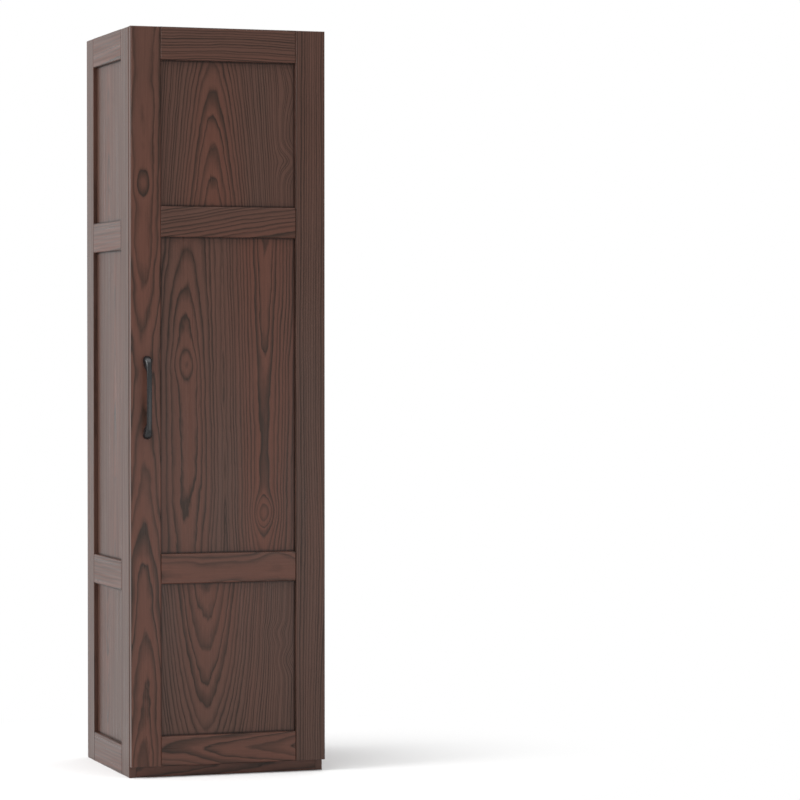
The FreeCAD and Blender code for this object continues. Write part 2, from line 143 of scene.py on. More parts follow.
# In the sides' table the first number counts inward from the outer face of a side.
SIDE_GRAIN = {
    "front_stile": grain("Z", (0.02, -0.04, 0.9), lean=0.02, drift=0.012),
    "rear_stile": grain("Z", (0.02, 0.31, 0.9), lean=0.02, drift=0.012),
    "bottom_rail": grain("Y", (0.02, 0.03, -0.014), lean=0.03, drift=0.012),
    "lower_rail": grain("Y", (0.02, 0.03, 0.431), lean=0.03, drift=0.012),
    "upper_rail": grain("Y", (0.02, 0.03, 1.254), lean=0.03, drift=0.012),
    "top_rail": grain("Y", (0.02, 0.03, 1.714), lean=0.03, drift=0.012),
    "lower_panel": grain("Z", (0.035, 0.065, 0.26), lean=-0.12, drift=0.012),
    "middle_panel": grain("Z", (0.035, -0.015, 0.89), lean=0.06, drift=0.012),
    "upper_panel": grain("Z", (0.035, 0.045, 1.53), lean=0.11, drift=0.012),
}
SIDES = {"left": -1, "right": 1}
SIDE_FACE = 0.2425

BOARD_GRAIN = {
    "bottom_board": grain("X", (0.0, 0.04, 0.051), ring=0.009, lean=0.06, drift=0.012),
    "lower_shelf": grain("X", (0.0, 0.06, 0.449), ring=0.009, lean=0.06, drift=0.012),
    "middle_shelf": grain("X", (0.0, 0.08, 0.864), ring=0.009, lean=0.06, drift=0.012),
    "upper_shelf": grain("X", (0.0, 0.0, 1.29), ring=0.009, lean=0.06, drift=0.012),
    "top_board": grain("X", (0.0, 0.02, 1.761), ring=0.009, lean=0.06, drift=0.012),
    "kick_board": grain("X", (0.0, -0.16, 0.026), ring=0.011, lean=0.08, drift=0.014),
    "front_top_rail": grain("X", (0.0, -0.16, 1.745), ring=0.011, lean=0.08, drift=0.014),
    "rear_kick_board": grain("X", (0.0, 0.22, 0.026), ring=0.011, lean=0.08, drift=0.014),
    "rear_top_rail": grain("X", (0.0, 0.22, 1.732), ring=0.011, lean=0.08, drift=0.014),
    # The back panel's shade darkens its colour as painted shade for the dim inside of the cabinet.
    "back_panel": grain("Z", (-0.05, 0.26, 0.9), ring=0.009, lean=0.05, drift=0.014, shade=0.55),
}

# The rails below and above each panel, and the stiles beside it
PANEL_RAILS = {
    "lower_panel": ("bottom_rail", "lower_rail"),
    "middle_panel": ("lower_rail", "upper_rail"),
    "upper_panel": ("upper_rail", "top_rail"),
}
DOOR_STILES = ("handle_stile", "hinge_stile")
SIDE_STILES = ("front_stile", "rear_stile")

# Patterns in the finishes
#
# A pattern is noise: how fine it is along each direction, per metre, its
# detail and its place in the noise. On wood the third direction is along the
# grain. A tone is what a pattern is multiplied by and what is then added.

Pattern = namedtuple("Pattern", "fineness detail offset")

WOOD_QUICK = Pattern((62, 62, 20), 2.0, (3, 7, 1))
WOOD_CLOUD = Pattern((22, 22, 5.0), 2.0, (5, 1, 9))
WOOD_FIBRE = Pattern((520, 520, 8), 3.0, (0, 0, 0))
WOOD_PORES = Pattern((1300, 1300, 24), 1.0, (2, 4, 6))
WOOD_STAIN = Pattern((9, 9, 1.6), 1.0, (8, 3, 2))
WOOD_STREAK = Pattern((130, 130, 2.5), 2.0, (1, 6, 4))
METAL_WIPE = Pattern((260, 260, 1800), 3.0, (0, 0, 0))
METAL_CLOUD = Pattern((70, 70, 70), 3.0, (4, 2, 7))
FLOOR_SPECK = Pattern((90, 90, 90), 2.0, (0, 0, 0))
SEED_STEP = (0.731, 1.317, 2.113)

# Rings: how far out the slimming of the log reaches, how softly two hearts
# meet, how much deeper than wide a knot is, what bends the lines, and how dark
# the wood is on its way through one year. The tone of the next year begins a
# little before that year.
LEAN_REACH = 0.085
TWIN_BLEND = 0.012
KNOT_DEPTH = 2
SLOW_FINENESS = 12.0
QUICK_YEARS = 0.60
UNEVEN_FINENESS = 0.6
UNEVEN_YEARS = 1.5
YEAR_PROFILE = ((0.0, 0.28), (0.08, 0.02), (0.40, 0.10), (0.66, 0.58), (0.86, 1.0), (1.0, 0.28))
YEAR_LEAD = 0.07
PORE_EDGE = ((0.60, 0.0), (0.72, 1.0))

# Stain: its red is lost between two distances from the heart. The wood is also
# darkened in the corner round a panel, as painted shade.
YEAR_TONE = (0.4, 0.7)
CLOUD_TONE = (1.1, 0.5)
STAIN_TONE = (0.9, -0.25)
FIBRE_TONE = (0.5, 0.75)
PORE_TONE = -0.12
PAINTED_SHADE_TONE = 0.25
PAINTED_SHADE_RUN = 0.0055
DULL_START = 0.02
DULL_END = 0.11

# Surface: what each pattern adds to the roughness, the height and the tone.
# The floor turns white between two distances from the cabinet.
FIBRE_ROUGHNESS = 0.10
STREAK_ROUGHNESS = 0.30
LINE_ROUGHNESS = -0.04
LINE_HEIGHT = 0.5
PORE_HEIGHT = -0.5
WOOD_BUMP = 0.35
METAL_CLOUD_TONE = (0.24, 0.83)
METAL_WIPE_TONE = 0.10
METAL_CLOUD_ROUGHNESS = 0.16
METAL_WIPE_ROUGHNESS = 0.08
METAL_BUMP = 0.2
METAL_DENT = 0.00005
FLOOR_SPECK_TONE = (0.02, 0.99)
FLOOR_ROUGHNESS = 0.9
FLOOR_WHITE_START = 0.35
FLOOR_WHITE_END = 1.1

# Shapes: lengths, angles, counts of sides and steps, and shares of a screw's
# own sizes. Corners nearer than MERGE are one, and a face is taken to look
# down when its normal is below DOWNWARD.
MERGE = 0.000005
FLAT = math.radians(1)
CREASE = math.radians(40)
HANDLE_CREASE = math.radians(50)
DOWNWARD = -0.9
BOARD_EDGE = 0.0014
PRESSED_EDGE = 0.0003
PRESSED_STEPS = 2
HINGES = 4
HANDLE_STEPS = 48
HANDLE_ROUNDING = 0.66
HANDLE_CORNER_STEPS = 7
BORE_SIDES = 16
SCREW_FIT = 0.00005
SCREW_SPIN = math.radians(37)
SCREW_SIDES = 32
SCREW_DOME_STEPS = 5
SCREW_DOME_SHARE = 0.55
SCREW_TIP_SHARE = 0.8
SCREW_POINT_SHARE = 0.3
CROSS_LENGTH_SHARE = 0.56
CROSS_WIDTH_SHARE = 0.13
CROSS_DEPTH_SHARE = 1.1
CROSS_FLOOR_SHARE = 0.6

# Stage: the camera's sensor in millimetres, and how far it sees
SENSOR_WIDTH = 36.0
CAMERA_REACH = 200.0


class CabinetWoodSettings(bpy.types.PropertyGroup):
    """Colours and surface of the stained wood."""
    early_colour: FloatVectorProperty(
        name="Early wood", description="Colour of the broad pale part of a ring",
        default=(0.102, 0.0400, 0.0272), subtype="COLOR", min=0, max=1)
    late_colour: FloatVectorProperty(
        name="Late wood", description="Colour of the narrow dark part of a ring",
        default=(0.0265, 0.0140, 0.0094), subtype="COLOR", min=0, max=1)
    dull_colour: FloatVectorProperty(
        name="Dull stain", description="Colour of the early wood where the stain took less red",
        default=(0.0775, 0.0415, 0.0315), subtype="COLOR", min=0, max=1)
    gloss_level: FloatProperty(
        name="Gloss level", description="Strength of the clear satin coat's reflection",
        default=0.18, subtype="FACTOR", min=0, max=1)
    roughness: FloatProperty(
        name="Roughness", description="Mean roughness of the satin coat",
        default=0.35, subtype="FACTOR", min=0, max=1)
    grain_depth: FloatProperty(
        name="Grain depth", description="Depth of the grain that shows through the coat",
        default=0.00025, unit="LENGTH", min=0, max=0.01)


class CabinetFittingSettings(bpy.types.PropertyGroup):
    """Colours of the metal and plastic fittings."""
    nickel_colour: FloatVectorProperty(
        name="Nickel", description="Colour of the hinges and the shelf stiffener",
        default=(0.88, 0.87, 0.85), subtype="COLOR", min=0, max=1)
    steel_colour: FloatVectorProperty(
        name="Screw steel", description="Colour of the handle's screws",
        default=(0.66, 0.65, 0.63), subtype="COLOR", min=0, max=1)
    handle_colour: FloatVectorProperty(
        name="Handle", description="Colour of the handle's black coat",
        default=(0.009, 0.009, 0.010), subtype="COLOR", min=0, max=1)
    bumper_colour: FloatVectorProperty(
        name="Bumper", description="Colour of the soft door bumper",
        default=(0.70, 0.68, 0.64), subtype="COLOR", min=0, max=1)
    dowel_colour: FloatVectorProperty(
        name="Dowel", description="Colour of the raw dowel wood",
        default=(0.52, 0.36, 0.21), subtype="COLOR", min=0, max=1)


def length(name, description, default):
    """A length that a user may change."""
    return FloatProperty(name=name, description=description, default=default, unit="LENGTH", min=0)


class CabinetHandleSettings(bpy.types.PropertyGroup):
    """Sizes of the cast handle."""
    handle_length: length("Length", "Length of the handle from tip to tip", 0.200)
    projection: length("Projection", "How far the bar stands out from the door", 0.029)
    bow: length("Bow", "How much more the bar stands out at its middle", 0.003)
    bar_width: length("Bar width", "Width of the bar", 0.012)
    bar_thickness: length("Bar thickness", "Thickness of the bar", 0.0074)
    foot_width: length("Foot width", "Width of the two feet", 0.0205)
    round_run: length("Round run", "Length of the round end of a foot", 0.010)
    toe_run: length("Toe run", "Length over which a foot rises", 0.0285)
    foot_run: length("Foot run", "Length of a foot that lies on the door", 0.018)
    leg_run: length("Leg run", "Distance from the tip to the full slim bar", 0.037)
    tip: length("Tip", "Length of the blunt tip", 0.0004)


class CabinetScrewSettings(bpy.types.PropertyGroup):
    """Sizes of the screws."""
    wood_head: length("Wood screw head", "Width of the hinge screws' heads", 0.007)
    wood_head_height: length("Wood screw head height", "Height of the hinge screws' heads", 0.0018)
    wood_shank: length("Wood screw shank", "Thickness of the hinge screws", 0.0035)
    wood_length: length("Wood screw length", "Length of the hinge screws under the head", 0.014)
    plate_spacing: length("Plate screw spacing", "Distance between the two screws of a plate", 0.040)
    cup_spacing: length("Cup screw spacing", "Distance between the two screws of a cup", 0.060)
    arm_shank: length("Arm screw shank", "Thickness of the screws in the hinge arms", 0.004)
    arm_length: length("Arm screw length", "Length of the screws in the hinge arms", 0.008)
    handle_head: length("Handle screw head", "Width of the handle screws' heads", 0.008)
    handle_head_height: length("Handle screw head height", "Height of the handle screws' heads", 0.0024)
    handle_shank: length("Handle screw shank", "Thickness of the handle screws", 0.004)
    handle_length: length("Handle screw length", "Length of the handle screws under the head", 0.028)


class CabinetStageSettings(bpy.types.PropertyGroup):
    """Floor, light and camera."""
    floor_colour: FloatVectorProperty(
        name="Floor", description="Colour of the pale floor",
        default=(0.93, 0.93, 0.93), subtype="COLOR", min=0, max=1)
    floor_size: FloatProperty(
        name="Floor size", description="Length of the floor's side",
        default=120.0, unit="LENGTH", min=1)
    sky_level: FloatProperty(
        name="Sky level", description="Strength of the even light from all round",
        default=0.47, min=0)
    key_power: FloatProperty(
        name="Key power", description="Power of the large soft lamp",
        default=260.0, unit="POWER", min=0)
    top_power: FloatProperty(
        name="Top power", description="Power of the wide lamp overhead",
        default=290.0, unit="POWER", min=0)
    low_power: FloatProperty(
        name="Low power", description="Power of the weak lamp near the floor in front",
        default=11.0, unit="POWER", min=0)
    camera_place: FloatVectorProperty(
        name="Camera place", description="Where the camera stands",
        default=(-2.2062, -7.9039, 1.0574), subtype="TRANSLATION", unit="LENGTH")
    camera_heading: FloatProperty(
        name="Camera heading", description="Turn of the camera to the right of straight ahead",
        default=math.radians(18.950), subtype="ANGLE", unit="ROTATION")
    camera_dip: FloatProperty(
        name="Camera dip", description="Tilt of the camera below level",
        default=math.radians(1.083), subtype="ANGLE", unit="ROTATION")
    camera_lens: FloatProperty(
        name="Camera lens", description="Focal length for a sensor 36 mm wide, in millimetres",
        default=149.27, min=1)


# Node trees

def add_node(tree, kind, **settings):
    """A new node with its settings."""
    node = tree.nodes.new(kind)
    for name, value in settings.items():
        setattr(node, name, value)
    return node


def feed(tree, socket, value):
    """Join a socket to another one, or set its value."""
    if isinstance(value, bpy.types.NodeSocket):
        tree.links.new(value, socket)
    else:
        socket.default_value = value


def sums(tree, operation, *values):
    """The result of one sum with numbers."""
    node = add_node(tree, "ShaderNodeMath", operation=operation)
    for socket, value in zip(node.inputs, values):
        feed(tree, socket, value)
    return node.outputs[0]


def vector_sums(tree, operation, *values):
    """The node of one sum with places or directions."""
    node = add_node(tree, "ShaderNodeVectorMath", operation=operation)
    for socket, value in zip(node.inputs, values):
        feed(tree, socket, value)
    return node


def noise(tree, vector, fineness, detail, offset=(0, 0, 0)):
    """A pattern from 0 to 1, its fineness set along each direction."""
    place = vector_sums(tree, "MULTIPLY_ADD", vector, fineness, offset).outputs[0]
    node = add_node(tree, "ShaderNodeTexNoise")
    feed(tree, node.inputs["Vector"], place)
    node.inputs["Scale"].default_value = 1.0
    node.inputs["Detail"].default_value = detail
    return node.outputs[0]


def ramp(tree, value, stops):
    """A tone for each value, along stops that are a position and a tone."""
    node = add_node(tree, "ShaderNodeValToRGB")
    elements = node.color_ramp.elements
    while len(elements) < len(stops):
        elements.new(0.5)
    for element, (position, tone) in zip(elements, stops):
        element.position = position
        element.color = (tone, tone, tone, 1)
    feed(tree, node.inputs[0], value)
    return node.outputs[0]


def mix_colour(tree, amount, first, second, blend="MIX"):
    """Two colours mixed, each a socket or three numbers."""
    node = add_node(tree, "ShaderNodeMix", data_type="RGBA", blend_type=blend)
    feed(tree, node.inputs[0], amount)
    for socket, value in ((node.inputs[6], first), (node.inputs[7], second)):
        feed(tree, socket, value if isinstance(value, bpy.types.NodeSocket) else (*value, 1))
    return node.outputs[2]


def new_group(name, inputs, outputs):
    """An empty node group with its sockets, each a name and a kind."""
    tree = bpy.data.node_groups.new(name, "ShaderNodeTree")
    for socket, kind in inputs:
        tree.interface.new_socket(socket, in_out="INPUT", socket_type="NodeSocket" + kind)
    for socket, kind in outputs:
        tree.interface.new_socket(socket, in_out="OUTPUT", socket_type="NodeSocket" + kind)
    start = tree.nodes.new("NodeGroupInput")
    end = tree.nodes.new("NodeGroupOutput")
    return tree, start.outputs, end.inputs


def use_group(tree, group, **values):
    """A node that uses a group, with its inputs by name."""
    node = add_node(tree, "ShaderNodeGroup", node_tree=group)
    for name, value in values.items():
        feed(tree, node.inputs[name.replace("_", " ")], value)
    return node


def new_material(name):
    """A material with its own shader node, its tree and that shader."""
    material = bpy.data.materials.new(name)
    material.use_nodes = True
    return material, material.node_tree, material.node_tree.nodes["Principled BSDF"]


def knot_group():
    """How far a knot pushes the rings aside, from its place, size and push."""
    tree, given, result = new_group(
        "knot", [("vector", "Vector"), ("place", "Vector"), ("size", "Vector"), ("push", "Float")],
        [("bulge", "Float")])
    away = vector_sums(tree, "SUBTRACT", given["vector"], given["place"]).outputs[0]
    away = vector_sums(tree, "DIVIDE", away, given["size"]).outputs[0]
    distance = vector_sums(tree, "LENGTH", away).outputs["Value"]
    square = sums(tree, "MULTIPLY", distance, distance)
    fall = sums(tree, "POWER", math.e, sums(tree, "MULTIPLY", square, -1.0))
    feed(tree, result["bulge"], sums(tree, "MULTIPLY", fall, given["push"]))
    return tree


def log_distance(tree, vector, lean):
    """Distance from a log's heart, with the slimming of the log near it."""
    split = add_node(tree, "ShaderNodeSeparateXYZ")
    feed(tree, split.inputs[0], vector)
    across, deep, along = split.outputs
    radius = sums(tree, "SQRT", sums(tree, "ADD", sums(tree, "MULTIPLY", across, across),
                                     sums(tree, "MULTIPLY", deep, deep)))
    reach = sums(tree, "DIVIDE", radius, LEAN_REACH)
    fade = sums(tree, "DIVIDE", 1.0, sums(tree, "MULTIPLY_ADD", reach, reach, 1.0))
    slim = sums(tree, "MULTIPLY", sums(tree, "MULTIPLY", along, lean), fade)
    return sums(tree, "ADD", radius, slim)


def wood_group(settings):
    """Colour, roughness and height of stained wood, from a place in the log."""
    tree, given, result = new_group(
        "stained wood",
        [("vector", "Vector"), ("bulge", "Float"), ("ring", "Float"), ("lean", "Float"),
         ("drift", "Float"), ("wave", "Float"), ("dull", "Float"), ("seed", "Vector"),
         ("twin", "Vector"), ("twin lean", "Float"), ("shade", "Float"), ("crowd", "Float")],
        [("colour", "Color"), ("roughness", "Float"), ("height", "Float")])
    place = given["vector"]
    shifted = vector_sums(tree, "ADD", place, given["seed"]).outputs[0]

    first = log_distance(tree, place, given["lean"])
    beside = vector_sums(tree, "SUBTRACT", place, given["twin"]).outputs[0]
    second = log_distance(tree, beside, given["twin lean"])
    heart = sums(tree, "SMOOTH_MIN", first, second, TWIN_BLEND)

    fineness = add_node(tree, "ShaderNodeCombineXYZ")
    feed(tree, fineness.inputs["X"], SLOW_FINENESS)
    feed(tree, fineness.inputs["Y"], SLOW_FINENESS)
    feed(tree, fineness.inputs["Z"], given["wave"])
    slow = sums(tree, "SUBTRACT", noise(tree, shifted, fineness.outputs[0], detail=1.0), 0.5)
    quick = sums(tree, "SUBTRACT", noise(tree, shifted, *WOOD_QUICK), 0.5)
    radius = sums(tree, "ADD", heart, given["bulge"])
    radius = sums(tree, "MULTIPLY_ADD", slow, given["drift"], radius)
    crowd = sums(tree, "MULTIPLY_ADD", radius, given["crowd"], 1.0)
    years = sums(tree, "DIVIDE", sums(tree, "MULTIPLY", radius, crowd), given["ring"])
    years = sums(tree, "MULTIPLY_ADD", quick, QUICK_YEARS, years)
    uneven = add_node(tree, "ShaderNodeTexNoise", noise_dimensions="1D")
    feed(tree, uneven.inputs["W"], sums(tree, "MULTIPLY", years, UNEVEN_FINENESS))
    uneven.inputs["Scale"].default_value = 1.0
    uneven.inputs["Detail"].default_value = 1.0
    years = sums(tree, "MULTIPLY_ADD", uneven.outputs[0], UNEVEN_YEARS, years)
    line = ramp(tree, sums(tree, "FRACT", years), YEAR_PROFILE)
    tone = add_node(tree, "ShaderNodeTexWhiteNoise", noise_dimensions="1D")
    feed(tree, tone.inputs["W"], sums(tree, "FLOOR", sums(tree, "ADD", years, YEAR_LEAD)))
    line = sums(tree, "MULTIPLY", line, sums(tree, "MULTIPLY_ADD", tone.outputs["Value"], *YEAR_TONE))
    cloud = noise(tree, shifted, *WOOD_CLOUD)
    line = sums(tree, "MULTIPLY", line, sums(tree, "MULTIPLY_ADD", cloud, *CLOUD_TONE))
    line = sums(tree, "MINIMUM", line, 1.0)

    fibre = noise(tree, shifted, *WOOD_FIBRE)
    pores = ramp(tree, noise(tree, shifted, *WOOD_PORES), PORE_EDGE)

    stain = sums(tree, "MULTIPLY_ADD", noise(tree, shifted, *WOOD_STAIN), *STAIN_TONE)
    flank = add_node(tree, "ShaderNodeMapRange", interpolation_type="SMOOTHSTEP")
    feed(tree, flank.inputs["Value"], heart)
    flank.inputs["From Min"].default_value = DULL_START
    flank.inputs["From Max"].default_value = DULL_END
    dull = sums(tree, "MULTIPLY_ADD", flank.outputs[0], given["dull"], stain)
    early = mix_colour(tree, dull, settings.early_colour, settings.dull_colour)
    colour = mix_colour(tree, line, early, settings.late_colour)
    level = sums(tree, "MULTIPLY_ADD", fibre, *FIBRE_TONE)
    level = sums(tree, "MULTIPLY_ADD", pores, PORE_TONE, level)
    # Painted shade: the colour is darkened by the board's shade.
    level = sums(tree, "MULTIPLY", level, given["shade"])
    colour = mix_colour(tree, 1.0, colour, level, blend="MULTIPLY")
    feed(tree, result["colour"], colour)

    smoothest = settings.roughness - (FIBRE_ROUGHNESS + STREAK_ROUGHNESS) / 2
    rough = sums(tree, "MULTIPLY_ADD", fibre, FIBRE_ROUGHNESS, smoothest)
    streak = noise(tree, shifted, *WOOD_STREAK)
    rough = sums(tree, "MULTIPLY_ADD", streak, STREAK_ROUGHNESS, rough)
    rough = sums(tree, "MULTIPLY_ADD", line, LINE_ROUGHNESS, rough)
    feed(tree, result["roughness"], rough)
    height = sums(tree, "MULTIPLY_ADD", line, LINE_HEIGHT, fibre)
    height = sums(tree, "MULTIPLY_ADD", pores, PORE_HEIGHT, height)
    feed(tree, result["height"], height)
    return tree


def painted_corner_shade(tree, coordinates, opening):
    """A tone that is darker near the edges of the opening that a panel shows in."""
    split = add_node(tree, "ShaderNodeSeparateXYZ")
    feed(tree, split.inputs[0], coordinates)
    nearest = PAINTED_SHADE_RUN
    for axis, (low, high) in opening.items():
        nearest = sums(tree, "MINIMUM", nearest, sums(tree, "SUBTRACT", split.outputs[axis], low))
        nearest = sums(tree, "MINIMUM", nearest, sums(tree, "SUBTRACT", high, split.outputs[axis]))
    away = sums(tree, "MAXIMUM", sums(tree, "DIVIDE", nearest, PAINTED_SHADE_RUN), 0.0)
    return sums(tree, "MULTIPLY_ADD", away, 1 - PAINTED_SHADE_TONE, PAINTED_SHADE_TONE)


def wood_material(name, board, seed, opening=None):
    """Stained wood for one board, cut from its own log. A panel also gives its opening."""
    settings = bpy.context.scene.cabinet_wood
    wood = bpy.data.node_groups.get("stained wood") or wood_group(settings)
    knot = bpy.data.node_groups.get("knot") or knot_group()
    material, tree, shader = new_material(name)
    coordinates = add_node(tree, "ShaderNodeTexCoord").outputs["Object"]
    log = add_node(tree, "ShaderNodeMapping", vector_type="TEXTURE")
    tilt = Euler((0, math.radians(board.turn), 0)).to_matrix()
    turn = tilt @ Euler(LOG_TURN[board.along]).to_matrix()
    log.inputs["Location"].default_value = board.heart
    log.inputs["Rotation"].default_value = turn.to_euler()
    feed(tree, log.inputs["Vector"], coordinates)
    place = log.outputs[0]
    bulge = 0.0
    for spot in board.knots:
        at = turn.transposed() @ (Vector(spot.place) - Vector(board.heart))
        node = use_group(tree, knot, vector=place, place=at, push=spot.push,
                         size=(spot.across, spot.across * KNOT_DEPTH, spot.along))
        bulge = sums(tree, "ADD", node.outputs[0], bulge)
    node = use_group(tree, wood, vector=place, bulge=bulge, ring=board.ring, lean=board.lean,
                     drift=board.drift, wave=board.wave, dull=board.dull, seed=seed, twin=board.twin,
                     twin_lean=board.twin_lean, shade=board.shade, crowd=board.crowd)
    colour = node.outputs["colour"]
    if opening:
        # Painted shade in the corner round the panel's opening
        tone = painted_corner_shade(tree, coordinates, opening)
        colour = mix_colour(tree, 1.0, colour, tone, blend="MULTIPLY")
    feed(tree, shader.inputs["Base Color"], colour)
    feed(tree, shader.inputs["Roughness"], node.outputs["roughness"])
    shader.inputs["Specular IOR Level"].default_value = settings.gloss_level
    bump = add_node(tree, "ShaderNodeBump")
    bump.inputs["Strength"].default_value = WOOD_BUMP
    bump.inputs["Distance"].default_value = settings.grain_depth
    feed(tree, bump.inputs["Height"], node.outputs["height"])
    feed(tree, shader.inputs["Normal"], bump.outputs[0])
    return material


def metal_material(name, colour, roughness, metallic, gloss):
    """Metal or coated metal with faint wipe marks and small dents in its gloss."""
    material, tree, shader = new_material(name)
    coordinates = add_node(tree, "ShaderNodeTexCoord").outputs["Object"]
    wipe = noise(tree, coordinates, *METAL_WIPE)
    cloud = noise(tree, coordinates, *METAL_CLOUD)
    level = sums(tree, "MULTIPLY_ADD", cloud, *METAL_CLOUD_TONE)
    level = sums(tree, "MULTIPLY_ADD", wipe, METAL_WIPE_TONE, level)
    feed(tree, shader.inputs["Base Color"], mix_colour(tree, 1.0, colour, level, blend="MULTIPLY"))
    smoothest = roughness - METAL_CLOUD_ROUGHNESS / 2
    rough = sums(tree, "MULTIPLY_ADD", cloud, METAL_CLOUD_ROUGHNESS, smoothest)
    rough = sums(tree, "MULTIPLY_ADD", wipe, METAL_WIPE_ROUGHNESS, rough)
    feed(tree, shader.inputs["Roughness"], rough)
    shader.inputs["Metallic"].default_value = metallic
    shader.inputs["Specular IOR Level"].default_value = gloss
    bump = add_node(tree, "ShaderNodeBump")
    bump.inputs["Strength"].default_value = METAL_BUMP
    bump.inputs["Distance"].default_value = METAL_DENT
    feed(tree, bump.inputs["Height"], wipe)
    feed(tree, shader.inputs["Normal"], bump.outputs[0])
    return material


def fitting_material(name):
    """The finish of a fitting, made once: colour, roughness, share of metal and gloss."""
    colours = bpy.context.scene.cabinet_fittings
    finishes = {
        "bright_nickel": (colours.nickel_colour, 0.36, 1.0, 0.5),
        "screw_steel": (colours.steel_colour, 0.32, 1.0, 0.5),
        "black_satin_coat": (colours.handle_colour, 0.22, 0.0, 0.35),
        "soft_bumper": (colours.bumper_colour, 0.5, 0.0, 0.4),
        "raw_dowel": (colours.dowel_colour, 0.7, 0.0, 0.3),
    }
    return bpy.data.materials.get(name) or metal_material(name, *finishes[name])


def share(value, start, end):
    """How far a value has come from start to end, from 0 to 1."""
    return min(max((value - start) / (end - start), 0), 1)


def dress(node, material):
    """Give a node of the frame its material."""
    mesh = frame["nodes"][node].data
    mesh.materials.clear()
    mesh.materials.append(material)


def behind(place, face):
    """A place whose second number counts from a face."""
    return (place[0], place[1] + face, place[2])


def panel_opening(owner, board, stiles, axis):
    """The ends of a panel's opening along the axis and by height, or nothing for other boards."""
    if board not in PANEL_RAILS:
        return None
    first, last = (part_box(owner + "_" + stile) for stile in stiles)
    below, above = (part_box(owner + "_" + rail) for rail in PANEL_RAILS[board])
    return {axis: (first[1][axis], last[0][axis]), 2: (below[1][2], above[0][2])}


def board_seed(number):
    """A place in the noise for one board, never the same twice."""
    return tuple(step * number for step in SEED_STEP)


# Making pieces

def begin(add, **sizes):
    """Add a primitive with nothing else selected and open it in edit mode."""
    bpy.ops.object.select_all(action="DESELECT")
    add(**sizes)
    bpy.ops.object.mode_set(mode="EDIT")
    return bpy.context.object


def select_faces(piece, wanted):
    """Select the faces of the piece in edit mode that the test wants."""
    bpy.ops.mesh.select_all(action="DESELECT")
    bpy.ops.object.mode_set(mode="OBJECT")
    for face in piece.data.polygons:
        face.select = wanted(face)
    bpy.ops.object.mode_set(mode="EDIT")


def pick(pieces):
    """Select the pieces and nothing else, the first one active."""
    bpy.ops.object.select_all(action="DESELECT")
    for piece in pieces:
        piece.select_set(True)
    bpy.context.view_layer.objects.active = pieces[0]


def settle(piece, name, smooth):
    """Close a piece, put its place into its mesh and smooth its round faces."""
    bpy.ops.mesh.select_all(action="SELECT")
    bpy.ops.mesh.remove_doubles(threshold=MERGE)
    bpy.ops.mesh.normals_make_consistent(inside=False)
    bpy.ops.object.mode_set(mode="OBJECT")
    pick([piece])
    bpy.ops.object.transform_apply(location=True, rotation=True, scale=True)
    bpy.ops.object.shade_smooth_by_angle(angle=smooth)
    piece.name = name
    piece.data.name = name


def carve(piece, cutter):
    """Cut one piece out of another and throw the cutter away."""
    pick([piece])
    cut = piece.modifiers.new("cut", "BOOLEAN")
    cut.operation = "DIFFERENCE"
    cut.object = cutter
    bpy.ops.object.modifier_apply(modifier=cut.name)
    bpy.data.objects.remove(cutter)


def copy_node(node):
    """A copy of a node of the frame, merged, each flat face in one piece, open in edit mode."""
    pick([frame["nodes"][node]])
    bpy.ops.object.duplicate(linked=False)
    piece = bpy.context.object
    bpy.ops.object.parent_clear(type="CLEAR_KEEP_TRANSFORM")
    bpy.ops.object.transform_apply(location=True, rotation=True, scale=True)
    bpy.ops.mesh.customdata_custom_splitnormals_clear()
    bpy.ops.object.mode_set(mode="EDIT")
    bpy.ops.mesh.select_all(action="SELECT")
    bpy.ops.mesh.remove_doubles(threshold=MERGE)
    bpy.ops.mesh.dissolve_limited(angle_limit=FLAT)
    return piece


def ease_board(node, axis):
    """A copy of a board with the edges of its two broad faces taken off."""
    low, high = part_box(node)
    piece = copy_node(node)
    for level, outward in ((low[axis], -1), (high[axis], 1)):
        step = Vector()
        step[axis] = outward * BOARD_EDGE
        select_faces(piece, lambda face: abs(face.center[axis] - level) < MERGE)
        bpy.ops.transform.translate(value=-step)
        bpy.ops.mesh.inset(thickness=BOARD_EDGE)
        bpy.ops.transform.translate(value=step)
    settle(piece, node + "_eased", CREASE)
    return piece


def press(node):
    """A copy of a hinge piece with its edges rounded as pressing leaves them."""
    piece = copy_node(node)
    bpy.ops.object.mode_set(mode="OBJECT")
    edge = piece.modifiers.new("edge", "BEVEL")
    edge.width = PRESSED_EDGE
    edge.segments = PRESSED_STEPS
    edge.limit_method = "ANGLE"
    edge.angle_limit = CREASE
    bpy.ops.object.modifier_apply(modifier=edge.name)
    bpy.ops.object.mode_set(mode="EDIT")
    trim_flaps()
    settle(piece, node + "_pressed", CREASE)
    return piece


def trim_flaps():
    """Take off the loose flap that the rounding can leave in a tight corner."""
    bpy.ops.mesh.select_all(action="SELECT")
    bpy.ops.mesh.remove_doubles(threshold=MERGE)
    bpy.ops.mesh.select_mode(type="EDGE")
    bpy.ops.mesh.select_all(action="DESELECT")
    bpy.ops.mesh.select_non_manifold(
        use_wire=False, use_boundary=True, use_multi_face=False, use_non_contiguous=False,
        use_verts=False)
    bpy.ops.mesh.delete(type="EDGE")
    bpy.ops.mesh.select_mode(type="VERT")


def hinge_height(number):
    """Height of the middle of a hinge."""
    low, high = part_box("hinge_%d_plate" % number)
    return (low[2] + high[2]) / 2


def stand_for(piece, node, material):
    """Let a piece take the place of a node of the frame, on the same body."""
    piece.data.materials.clear()
    piece.data.materials.append(material)
    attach(piece, frame["nodes"][node]["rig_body"])
    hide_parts(node)


